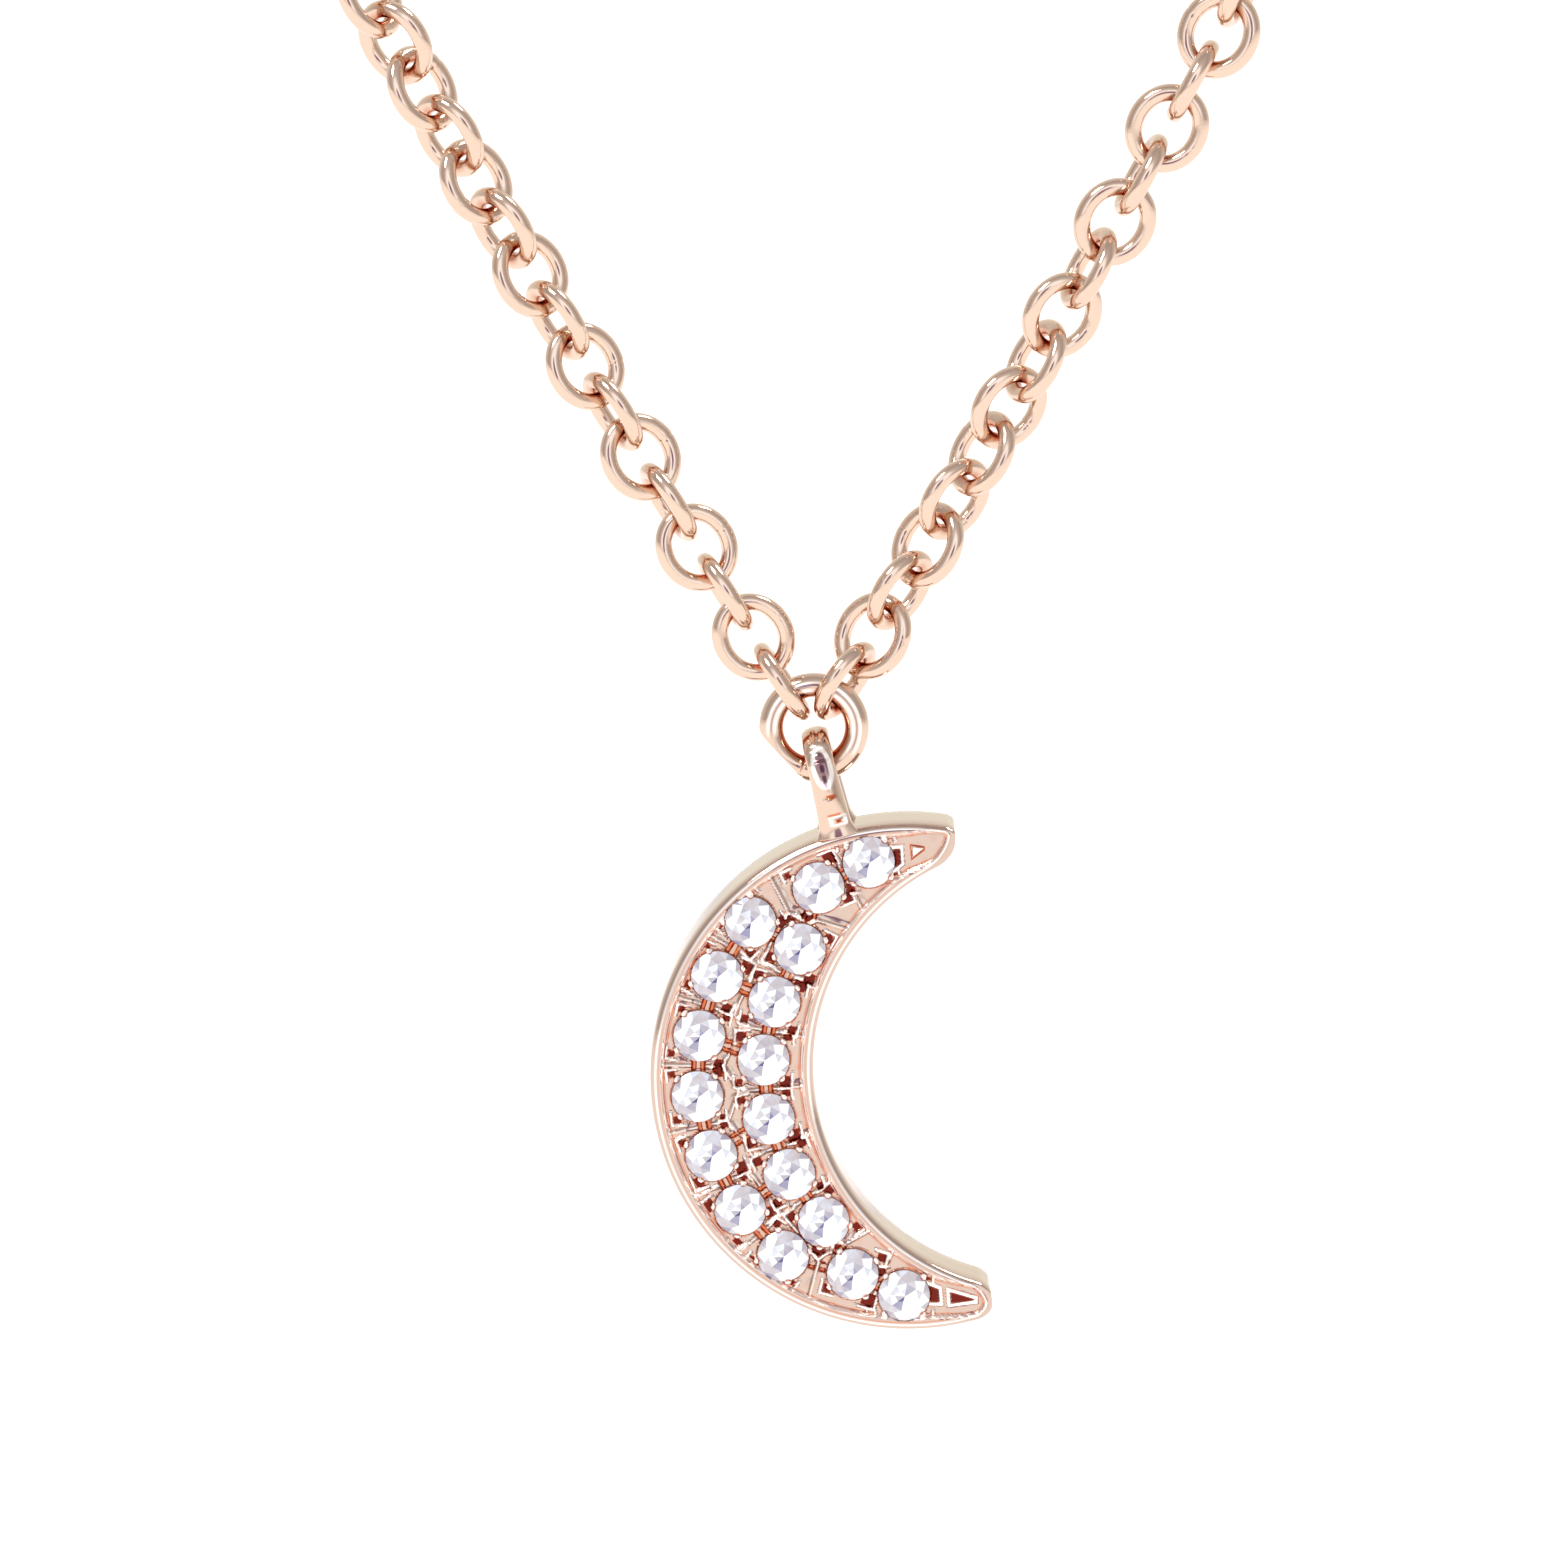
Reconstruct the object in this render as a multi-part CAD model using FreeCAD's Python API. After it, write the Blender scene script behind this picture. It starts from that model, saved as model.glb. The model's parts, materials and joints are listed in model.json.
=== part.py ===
import FreeCAD, Part
import math
import os

# Pendant necklace: a rose-gold crescent set with 17 diamonds, hung from a cable chain
# through a jump ring, and closed by a lobster clasp at the nape.
# Millimetres. The necklace hangs in the XZ plane, its face towards -Y, +Z up.
# The origin is the middle of the clasp line, where the necklace rests on the neck.

V = FreeCAD.Vector

# ---- driving dimensions -------------------------------------------------------------
GAP = 0.05                  # running clearance between two pieces that hang in each other

LINK_WIRE = 0.32            # wire diameter of a chain link
LINK_PITCH = 0.972          # length that one link adds to the chain
LINK_INNER_WIDTH = 0.85

RING_WIRE = 0.44            # jump ring that carries the pendant
RING_RADIUS = 0.78          # centreline

START_ANGLE = 34.0          # the end links leave the jump ring at this angle from vertical
HANG_ANGLE = 32.0           # slope of the chain just above the end links
HANG_SLACKENING = 0.0101    # per mm: the slope's tangent falls as 1 / (1 + this * length)
LEAN = 0.6                  # the whole loop leans this far to the left, in degrees

SINGLE_LINKS = 9            # links per side that are bodies of their own
STRAND_LINKS = [19, 19, 19, 19, 19, 20]   # links in each hanging strand, upwards
NECK_LINKS = 78             # links per side that lie round the neck

# twist of the links about the chain's own line, in degrees
TWIST_START = {"left": -1.8, "right": 19.5}
TWIST_PER_LINK = {"left": 3.6, "right": 5.5}
TWISTED_LINKS = 16          # above these the twist runs out evenly towards the clasp

PLATE_THICKNESS = 1.5
OUTER_RADIUS = 4.71         # the crescent's outer arc
INNER_RADIUS = 4.145        # and its inner arc
ARC_OFFSET = 2.425          # distance between the two arcs' centres
PLATE_TILT = 4.6            # the crescent's axis rises this far to the right
HORN_REACH = 1.2            # the horns are cut off this far past the outer arc's centre
HORN_ROUND = 0.24
PLATE_CENTRE = (1.72, -6.36)  # outer arc's centre from the jump ring's centre
RIM_WIDTH = 0.25
RIM_HEIGHT = 0.12           # the rim stands this far above the pave field
EDGE_BEVEL = 0.07

STONE_DIAMETER = 0.94
STONE_CROWN = 0.15
STONE_GIRDLE = 0.03
STONE_PAVILION = 0.40
STONE_TABLE = 0.56          # share of the diameter
STONE_RISE = 0.07           # the girdle stands this far above the pave field
SEAT_PLAY = 0.012
AZURE_RADIUS = 0.27         # open hole behind each stone

BAIL_WIDTH = 0.54
BAIL_THICKNESS = 0.50
BAIL_PLAY = 0.05            # more room in the bail, for the jump ring's curve
BAIL_LEAN = 13.5            # degrees; it stands square on the outer arc
BAIL_SEAT = 12.0            # degrees to the right of the jump ring's lowest point

CLASP_RING_WIRE = 0.40
CLASP_RING_RADIUS = 0.90
END_RING_WIRE = 0.44
END_RING_RADIUS = 1.20
HOOK_RADIUS = 1.43          # the clasp's hook, a round bar bent to this centreline
HOOK_BAR = 0.33
EYE_RADIUS = 0.62
EYE_BAR = 0.20
EYE_TO_HOOK = 5.20
CLASP_DEPTH = 1.30
SLOT_WIDTH = 0.70
TRIGGER_WIDTH = 0.60
PIVOT = (-1.40, -0.55)      # rivet, from the hook's centre
TRIGGER_HUB = 0.50
RIVET_RADIUS = 0.22
RIVET_PLAY = 0.04
NOSE_GAP = 0.06

# ---- values that follow ---------------------------------------------------------------
LINK_INNER_LENGTH = LINK_PITCH + GAP
LINK_CENTRELINE = (LINK_INNER_WIDTH + LINK_WIRE) / 2
HANGING_LINKS = SINGLE_LINKS + sum(STRAND_LINKS)
LINKS_PER_SIDE = HANGING_LINKS + NECK_LINKS


def reach(wire):
    """Distance from a link's centre to the centre of a wire that hangs in its end."""
    return LINK_INNER_LENGTH / 2 - wire / 2 - GAP


EYE_SEAT = EYE_RADIUS - EYE_BAR - CLASP_RING_WIRE / 2 - GAP
HOOK_SEAT = HOOK_RADIUS - HOOK_BAR - END_RING_WIRE / 2 - GAP
CLASP_LINE = (reach(CLASP_RING_WIRE) + 2 * CLASP_RING_RADIUS + EYE_SEAT + EYE_TO_HOOK
              + HOOK_SEAT + 2 * END_RING_RADIUS + reach(END_RING_WIRE))


# ---- the chain's route ------------------------------------------------------------------
def headings(neck_turn):
    """Slope from vertical, in radians, of each step from one link to the next."""
    slopes = []
    for i in range(1, LINKS_PER_SIDE):
        if i < HANGING_LINKS:
            ease = 1 + HANG_SLACKENING * LINK_PITCH * i
            slopes.append(math.atan(math.tan(math.radians(HANG_ANGLE)) / ease))
        else:
            slopes.append(slopes[-1] - neck_turn)
    return slopes


def half_route(neck_turn):
    """Link centres of the right half, from the jump ring's centre, before the lean."""
    start = RING_RADIUS + reach(RING_WIRE)
    angle = math.radians(START_ANGLE)
    points = [V(start * math.sin(angle), 0, start * math.cos(angle))]
    for slope in headings(neck_turn):
        step = V(math.sin(slope), 0, math.cos(slope)) * LINK_PITCH
        points.append(points[-1] + step)
    return points


def neck_turn_that_closes():
    """Turn per link round the neck with which the last link reaches the clasp."""
    low = 0.5 * LINK_PITCH / 45
    high = 2 * LINK_PITCH / 45
    for _ in range(60):
        middle = (low + high) / 2
        if half_route(middle)[-1].x > CLASP_LINE / 2:
            low = middle
        else:
            high = middle
    return middle


NECK_TURN = neck_turn_that_closes()
RIGHT_HALF = half_route(NECK_TURN)
CLASP_HEIGHT = RIGHT_HALF[-1].z
LEAN_TURN = FreeCAD.Rotation(V(0, 1, 0), -LEAN)
CLASP_MIDDLE = LEAN_TURN.multVec(V(0, 0, CLASP_HEIGHT))
JUMP_RING_CENTRE = CLASP_MIDDLE * -1


def link_centre(side, number):
    """Centre of link number 1, 2, ... counted upwards from the jump ring."""
    p = RIGHT_HALF[number - 1]
    mirrored = V(-p.x, p.y, p.z) if side == "left" else p
    return JUMP_RING_CENTRE + LEAN_TURN.multVec(mirrored)


def link_direction(side, number):
    """Unit vector along a link, pointing up the chain."""
    below = link_centre(side, number - 1) if number > 1 else JUMP_RING_CENTRE
    above = link_centre(side, min(number + 1, LINKS_PER_SIDE))
    return (above - below).normalize()


def twist(side, number):
    """Angle of a link's plane out of the necklace's plane, in degrees."""
    near = TWIST_START[side] + TWIST_PER_LINK[side] * min(number, TWISTED_LINKS)
    goal = 180.0 if LINKS_PER_SIDE % 2 == 0 else 90.0
    beyond = max(number - TWISTED_LINKS, 0) / (LINKS_PER_SIDE - TWISTED_LINKS)
    turned = near + beyond * (goal - TWIST_START[side]
                              - TWIST_PER_LINK[side] * TWISTED_LINKS)
    flip = 90.0 * (number % 2)
    return turned - flip if side == "left" else flip - turned


def joint_point(side, number):
    """Where link number hangs in the link above it."""
    return (link_centre(side, number) + link_centre(side, number + 1)) * 0.5


# ---- small shapes -------------------------------------------------------------------------
def wire_ring(radius, wire, centre, axis):
    return Part.makeTorus(radius, wire / 2, centre, axis)


def disc(radius, depth, u, v):
    """Cylinder along Y, centred on y = 0, at (u, v) in the XZ plane."""
    return Part.makeCylinder(radius, depth, V(u, -depth / 2, v), V(0, 1, 0))


def slab(points, depth):
    """Closed outline in the XZ plane, made solid to a depth centred on y = 0."""
    corners = [V(u, -depth / 2, v) for u, v in points]
    face = Part.Face(Part.makePolygon(corners + corners[:1]))
    return face.extrude(V(0, depth, 0))


def sector(u, v, low, high, radius, depth):
    """Wedge between two angles, in degrees from +X towards +Z."""
    steps = 12
    turn = [math.radians(low + (high - low) * k / steps) for k in range(steps + 1)]
    rim = [(u + radius * math.cos(a), v + radius * math.sin(a)) for a in turn]
    return slab([(u, v)] + rim, depth)


def moved(shape, offset):
    shape.translate(offset)
    return shape


# ---- chain ------------------------------------------------------------------------------------
def link_at_origin():
    """One closed link of round wire, its length along Z and its width along X."""
    straight = (LINK_INNER_LENGTH - LINK_INNER_WIDTH) / 2
    arcs = []
    for sign in (1, -1):
        centre = V(0, 0, sign * straight)
        section = Part.Face(Part.Wire(Part.makeCircle(
            LINK_WIRE / 2, centre + V(LINK_CENTRELINE, 0, 0), V(0, 0, 1))))
        arcs.append(section.revolve(centre, V(0, -sign, 0), 180))
    sides = [Part.makeCylinder(LINK_WIRE / 2, 2 * straight,
                               V(x, 0, -straight), V(0, 0, 1))
             for x in (LINK_CENTRELINE, -LINK_CENTRELINE)]
    return arcs[0].multiFuse([arcs[1]] + sides).removeSplitter().Solids[0]


LINK = link_at_origin()


def link(side, number):
    along = link_direction(side, number)
    across = V(along.z, 0, -along.x)
    a = math.radians(twist(side, number))
    width = across * math.cos(a) + V(0, 1, 0) * math.sin(a)
    normal = along.cross(width)
    turn = FreeCAD.Rotation(width, normal, along, "ZXY")
    shape = LINK.copy()
    shape.Placement = FreeCAD.Placement(link_centre(side, number), turn)
    return shape


def strand(side, first, last):
    return Part.makeCompound([link(side, n) for n in range(first, last + 1)])


def chain_nodes():
    nodes = {}
    for side in ("left", "right"):
        for n in range(1, SINGLE_LINKS + 1):
            nodes[f"{side}_link_{n:02d}"] = link(side, n)
        first = SINGLE_LINKS + 1
        for k, count in enumerate(STRAND_LINKS, 1):
            nodes[f"{side}_strand_{k}"] = strand(side, first, first + count - 1)
            first += count
        nodes[f"{side}_neck_strand"] = strand(side, first, LINKS_PER_SIDE)
    return nodes


# ---- pendant -----------------------------------------------------------------------------------
def outer_centre():
    return PLATE_CENTRE


def inner_centre():
    tilt = math.radians(PLATE_TILT)
    return (PLATE_CENTRE[0] + ARC_OFFSET * math.cos(tilt),
            PLATE_CENTRE[1] + ARC_OFFSET * math.sin(tilt))


def crescent(inset, depth):
    """Crescent solid centred on y = 0, its edge drawn in by inset."""
    cu, cv = outer_centre()
    body = disc(OUTER_RADIUS - inset, depth, cu, cv)
    body = body.cut(disc(INNER_RADIUS + inset, depth + 1, *inner_centre()))
    far = 2 * OUTER_RADIUS
    cutter = Part.makeBox(far, depth + 1, 2 * far,
                          V(HORN_REACH - inset, -(depth + 1) / 2, -far))
    cutter.rotate(V(0, 0, 0), V(0, 1, 0), -PLATE_TILT)
    body = body.cut(moved(cutter, V(cu, 0, cv)))
    tilt = math.radians(PLATE_TILT)
    corners = []
    for edge in body.Edges:
        middle = edge.CenterOfMass
        upright = edge.Length < depth + 0.001 and abs(middle.y) < 0.001
        along = (middle.x - cu) * math.cos(tilt) + (middle.z - cv) * math.sin(tilt)
        if upright and along > HORN_REACH - inset - 0.01:
            corners.append(edge)
    return body.makeFillet(max(HORN_ROUND - inset / 2, 0.08), corners)


def stone_places():
    """(u, v) of each stone from the jump ring's centre, from the upper horn downwards."""
    cu, cv = outer_centre()
    iu, iv = inner_centre()
    places = []
    for degrees, radius in ((79.7, 4.06), (65.0, 3.88)):
        a = math.radians(degrees)
        places.append((cu - radius * math.cos(a), cv + radius * math.sin(a)))
    for k in range(7):
        degrees = 45.0 - 16.75 * k
        radius = 3.86 + 7.5e-5 * (degrees + 8) ** 2
        a = math.radians(degrees)
        places.append((cu - radius * math.cos(a), cv + radius * math.sin(a)))
    for k in range(6):
        degrees = 26.5 - 12.5 * k
        radius = 5.06 - 1.6e-4 * (degrees + 4) ** 2
        a = math.radians(degrees)
        places.append((iu - radius * math.cos(a), iv + radius * math.sin(a)))
    for degrees, radius in ((-74.6, 3.80), (-89.0, 4.06)):
        a = math.radians(degrees)
        places.append((cu - radius * math.cos(a), cv + radius * math.sin(a)))
    return places


FIELD = -PLATE_THICKNESS / 2 + RIM_HEIGHT   # y of the pave field
GIRDLE = FIELD - STONE_RISE                 # y of the stones' girdles


def revolved(profile, u, v):
    """Solid of revolution about Y at (u, v); the profile lists (radius, y)."""
    corners = [V(r, y, 0) for r, y in profile]
    face = Part.Face(Part.makePolygon(corners + corners[:1]))
    solid = face.revolve(V(0, 0, 0), V(0, 1, 0), 360)
    return moved(solid, V(u, 0, v))


def stone(u, v):
    r = STONE_DIAMETER / 2
    half = STONE_GIRDLE / 2
    return revolved([(0, GIRDLE - half - STONE_CROWN),
                     (r * STONE_TABLE, GIRDLE - half - STONE_CROWN),
                     (r, GIRDLE - half),
                     (r, GIRDLE + half),
                     (0, GIRDLE + half + STONE_PAVILION)], u, v)


def seat(u, v):
    """What is drilled out of the plate for one stone."""
    r = STONE_DIAMETER / 2 + SEAT_PLAY
    half = STONE_GIRDLE / 2 + SEAT_PLAY
    cone_end = (STONE_PAVILION + SEAT_PLAY) * (1 - AZURE_RADIUS / r)
    back = PLATE_THICKNESS
    return revolved([(0, -back), (r, -back), (r, GIRDLE + half),
                     (AZURE_RADIUS, GIRDLE + half + cone_end),
                     (AZURE_RADIUS, back), (0, back)], u, v)


def crescent_plate():
    plate = crescent(0.0, PLATE_THICKNESS)
    rims = [e for f in plate.Faces for e in f.Edges
            if abs(abs(f.CenterOfMass.y) - PLATE_THICKNESS / 2) < 1e-6]
    plate = plate.makeChamfer(EDGE_BEVEL, rims)
    field = crescent(RIM_WIDTH, PLATE_THICKNESS)
    field.translate(V(0, -PLATE_THICKNESS + RIM_HEIGHT, 0))
    plate = plate.cut(field)
    plate = plate.cut(Part.makeCompound([seat(u, v) for u, v in stone_places()]))
    return moved(plate.Solids[0], JUMP_RING_CENTRE)


def bail_seat():
    """Point of the jump ring's centreline that the bail hangs on."""
    a = math.radians(BAIL_SEAT)
    return V(math.sin(a), 0, -math.cos(a)) * RING_RADIUS


def bail():
    """A flattened bar bent over the jump ring, both ends soldered to the outer edge."""
    centreline = RING_WIRE / 2 + GAP + BAIL_PLAY + BAIL_THICKNESS / 2
    section = Part.Ellipse(V(0, 0, 0), BAIL_WIDTH / 2, BAIL_THICKNESS / 2)
    face = Part.Face(Part.Wire(section.toShape()))
    face.translate(V(0, centreline, 0))
    arch = face.revolve(V(0, 0, 0), V(1, 0, 0), 180)
    leg_length = 1.2
    legs = []
    for sign in (1, -1):
        leg = Part.Face(Part.Wire(section.toShape()))
        leg.translate(V(0, sign * centreline, 0))
        legs.append(leg.extrude(V(0, 0, -leg_length)))
    shape = arch.multiFuse(legs).removeSplitter()
    shape.rotate(V(0, 0, 0), V(0, 1, 0), -BAIL_LEAN)
    shape.translate(bail_seat())
    shape = shape.cut(disc(OUTER_RADIUS, 3, *outer_centre()))
    return moved(shape.Solids[0], JUMP_RING_CENTRE)


def jump_ring():
    return wire_ring(RING_RADIUS, RING_WIRE, JUMP_RING_CENTRE, V(0, 1, 0))


def pendant_nodes():
    nodes = {"crescent_plate": crescent_plate(), "bail": bail(), "jump_ring": jump_ring()}
    for k, (u, v) in enumerate(stone_places(), 1):
        nodes[f"diamond_{k:02d}"] = moved(stone(u, v), JUMP_RING_CENTRE)
    return nodes


# ---- clasp ---------------------------------------------------------------------------------------
# It is drawn with the hook's centre at (0, 0) of the XZ plane, and then set on the clasp
# line between the last two links.
def on_clasp_line(shape):
    left_end = -CLASP_LINE / 2
    hook = left_end + reach(CLASP_RING_WIRE) + 2 * CLASP_RING_RADIUS + EYE_SEAT + EYE_TO_HOOK
    shape.translate(V(hook, 0, 0))
    shape.rotate(V(0, 0, 0), V(0, 1, 0), -LEAN)
    return shape


NOSE_REACH = 2.25           # from the rivet to the trigger's tip


def clasp_body():
    hook = Part.makeTorus(HOOK_RADIUS, HOOK_BAR, V(0, 0, 0), V(0, 1, 0))
    mouth = sector(0, 0, -152, -30, 3, 2).common(disc(NOSE_REACH + NOSE_GAP, 2, *PIVOT))
    hook = hook.cut(mouth)
    eye = Part.makeTorus(EYE_RADIUS, EYE_BAR, V(-EYE_TO_HOOK, 0, 0), V(0, 1, 0))
    cheeks = slab([(-EYE_TO_HOOK + EYE_RADIUS, 0.26), (-2.6, 0.75), (-1.6, 1.05),
                   (-0.9, 1.15), (-1.12, 0.0), (-1.0, -0.62), (-1.15, -1.05),
                   (-1.75, -1.12), (-2.6, -0.75), (-EYE_TO_HOOK + EYE_RADIUS, -0.26)],
                  CLASP_DEPTH)
    cheeks = cheeks.cut(disc(HOOK_RADIUS - HOOK_BAR, 3, 0, 0))
    body = hook.multiFuse([eye, cheeks])
    pu, pv = PIVOT
    slot = disc(0.78, SLOT_WIDTH, pu, pv)
    lever_way = slab([(pu - 1.2, pv - 0.1), (pu + 0.2, pv + 0.1), (pu + 1.0, pv - 0.2),
                      (pu + 1.0, pv - 1.5), (pu - 1.2, pv - 1.5)], SLOT_WIDTH)
    body = body.cut(slot.fuse(lever_way))
    body = body.cut(disc(RIVET_RADIUS, 3, pu, pv))
    return on_clasp_line(body.removeSplitter().Solids[0])


def clasp_trigger():
    pu, pv = PIVOT
    band = disc(HOOK_RADIUS + 0.25, TRIGGER_WIDTH, 0, 0)
    band = band.cut(disc(HOOK_RADIUS - 0.25, 2, 0, 0))
    band = band.common(sector(0, 0, -162, -30, 3, 2)).common(disc(NOSE_REACH, 2, pu, pv))
    hub = disc(TRIGGER_HUB, TRIGGER_WIDTH, pu, pv)
    tab = slab([(pu - 0.42, pv - 0.1), (pu + 0.3, pv - 0.38), (pu - 0.15, pv - 1.35),
                (pu - 0.62, pv - 1.3)], TRIGGER_WIDTH)
    lever = hub.multiFuse([band, tab])
    lever = lever.cut(disc(RIVET_RADIUS + RIVET_PLAY, 2, pu, pv))
    return on_clasp_line(lever.removeSplitter().Solids[0])


def clasp_rivet():
    return on_clasp_line(disc(RIVET_RADIUS, CLASP_DEPTH, *PIVOT))


def clasp_spring():
    """A leaf curled round the trigger's hub, inside the slot."""
    pu, pv = PIVOT
    leaf = disc(0.66, 0.5, pu, pv).cut(disc(0.58, 2, pu, pv))
    return on_clasp_line(leaf.common(sector(pu, pv, 60, 190, 2, 2)).Solids[0])


def clasp_nodes():
    hook_side = CLASP_LINE / 2 - reach(END_RING_WIRE) - END_RING_RADIUS
    eye_side = -CLASP_LINE / 2 + reach(CLASP_RING_WIRE) + CLASP_RING_RADIUS
    up = V(0, 0, 1)
    nodes = {
        "clasp_body": clasp_body(),
        "clasp_trigger": clasp_trigger(),
        "clasp_rivet": clasp_rivet(),
        "clasp_spring": clasp_spring(),
    }
    for name, radius, wire, x in (
            ("clasp_ring", CLASP_RING_RADIUS, CLASP_RING_WIRE, eye_side),
            ("end_ring", END_RING_RADIUS, END_RING_WIRE, hook_side)):
        ring = wire_ring(radius, wire, V(x, 0, 0), up)
        ring.rotate(V(0, 0, 0), V(0, 1, 0), -LEAN)
        nodes[name] = ring
    return nodes


def all_nodes():
    return {**pendant_nodes(), **chain_nodes(), **clasp_nodes()}


def main():
    os.makedirs("parts", exist_ok=True)
    for name, shape in all_nodes().items():
        shape.exportStep(f"parts/{name}.step")


main()
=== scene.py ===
import json
import math
import random

import bmesh
import bpy
import numpy as np
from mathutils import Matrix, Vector


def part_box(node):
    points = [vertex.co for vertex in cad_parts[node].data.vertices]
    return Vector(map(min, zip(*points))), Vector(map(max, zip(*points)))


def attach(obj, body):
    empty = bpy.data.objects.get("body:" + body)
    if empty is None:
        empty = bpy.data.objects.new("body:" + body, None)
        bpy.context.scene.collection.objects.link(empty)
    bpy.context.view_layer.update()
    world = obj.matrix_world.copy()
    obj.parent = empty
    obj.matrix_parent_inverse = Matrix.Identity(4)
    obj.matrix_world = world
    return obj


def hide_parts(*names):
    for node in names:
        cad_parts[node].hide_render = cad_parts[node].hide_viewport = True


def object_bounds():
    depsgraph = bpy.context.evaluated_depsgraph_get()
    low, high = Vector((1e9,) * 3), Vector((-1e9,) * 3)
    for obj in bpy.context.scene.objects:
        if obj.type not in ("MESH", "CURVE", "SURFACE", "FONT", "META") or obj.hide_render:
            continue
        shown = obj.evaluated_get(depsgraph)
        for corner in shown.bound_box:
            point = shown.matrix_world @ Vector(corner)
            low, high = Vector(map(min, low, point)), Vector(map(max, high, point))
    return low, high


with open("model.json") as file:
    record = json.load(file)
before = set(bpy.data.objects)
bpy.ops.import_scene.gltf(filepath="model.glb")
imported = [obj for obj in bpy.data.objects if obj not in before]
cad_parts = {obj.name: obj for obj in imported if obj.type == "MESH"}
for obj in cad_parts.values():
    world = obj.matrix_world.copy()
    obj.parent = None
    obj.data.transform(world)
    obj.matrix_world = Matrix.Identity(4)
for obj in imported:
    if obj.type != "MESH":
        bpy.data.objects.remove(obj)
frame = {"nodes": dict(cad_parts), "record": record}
CAD_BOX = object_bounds()
NODES = frame["nodes"]
BODIES = frame["record"]["behaviour"]["bodies"]
BODY_OF = {node: body for body, members in BODIES.items() for node in members}
MM = 0.001


def box_centre(node):
    low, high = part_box(node)
    return np.array((low + high) / 2) / MM


RING_CENTRE = box_centre("jump_ring")      # millimetres, as everything below


# ---- meshes -----------------------------------------------------------------------------
def make_object(name, verts, faces, material, smooth=True, sharp=None):
    """An object from millimetre vertices."""
    mesh = bpy.data.meshes.new(name)
    mesh.from_pydata((np.asarray(verts) * MM).tolist(), [], [list(f) for f in faces])
    mesh.validate()
    mesh.polygons.foreach_set("use_smooth", [smooth] * len(mesh.polygons))
    if sharp is not None:
        mesh.set_sharp_from_angle(angle=math.radians(sharp))
    mesh.materials.append(material)
    mesh.update()
    obj = bpy.data.objects.new(name, mesh)
    bpy.context.scene.collection.objects.link(obj)
    return obj


def mark(obj, name, values, domain="POINT"):
    """Store one number per point or face for the shader to read."""
    values = np.asarray(values, np.float32).ravel()
    obj.data.attributes.new(name, "FLOAT", domain).data.foreach_set("value", values)


def grid_faces(rows, columns, offset=0, close_rows=True, close_columns=True):
    """Quads of a grid of points, joined end to end where it closes."""
    faces = []
    for i in range(rows if close_rows else rows - 1):
        for j in range(columns if close_columns else columns - 1):
            a = i * columns + j
            b = i * columns + (j + 1) % columns
            c = ((i + 1) % rows) * columns + (j + 1) % columns
            d = ((i + 1) % rows) * columns + j
            faces.append((offset + a, offset + b, offset + c, offset + d))
    return faces


def unit(v):
    return v / np.linalg.norm(v)


def smooth(value, low, high):
    x = np.clip((value - low) / (high - low), 0, 1)
    return x * x * (3 - 2 * x)


def band(value, middle, half):
    return np.clip(1.4 * (1 - np.abs(value - middle) / half), 0, 1)


# ---- the chain's links, read from the frame ------------------------------------------------
def solids_of(node):
    """Centre and principal axes (length, width, normal) of each closed solid of a node."""
    mesh = NODES[node].data
    co = np.empty(len(mesh.vertices) * 3)
    mesh.vertices.foreach_get("co", co)
    co = co.reshape(-1, 3) / MM
    mesh.calc_loop_triangles()
    tri = np.empty(len(mesh.loop_triangles) * 3, dtype=np.int64)
    mesh.loop_triangles.foreach_get("vertices", tri)
    tri = tri.reshape(-1, 3)
    keys = np.round(co * 1e4).astype(np.int64)
    _, weld = np.unique(keys, axis=0, return_inverse=True)
    weld = weld.ravel()
    tri_w = weld[tri]
    label = np.arange(weld.max() + 1)
    while True:
        low = label[tri_w].min(1)
        fresh = label.copy()
        for k in range(3):
            np.minimum.at(fresh, tri_w[:, k], low)
        fresh = fresh[fresh]
        if (fresh == label).all():
            break
        label = fresh
    island = label[tri_w[:, 0]]
    a, b, c = co[tri[:, 0]], co[tri[:, 1]], co[tri[:, 2]]
    area = np.linalg.norm(np.cross(b - a, c - a), axis=1) / 2
    mid = (a + b + c) / 3
    found = []
    for mark in np.unique(island):
        pick = island == mark
        w, p = area[pick], mid[pick]
        centre = (w[:, None] * p).sum(0) / w.sum()
        q = p - centre
        _, axes = np.linalg.eigh((w[:, None, None] * q[:, :, None] * q[:, None, :]).sum(0))
        found.append((centre, axes[:, 2], axes[:, 1], axes[:, 0]))
    found.sort(key=lambda s: s[0][2])
    return found


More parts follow.
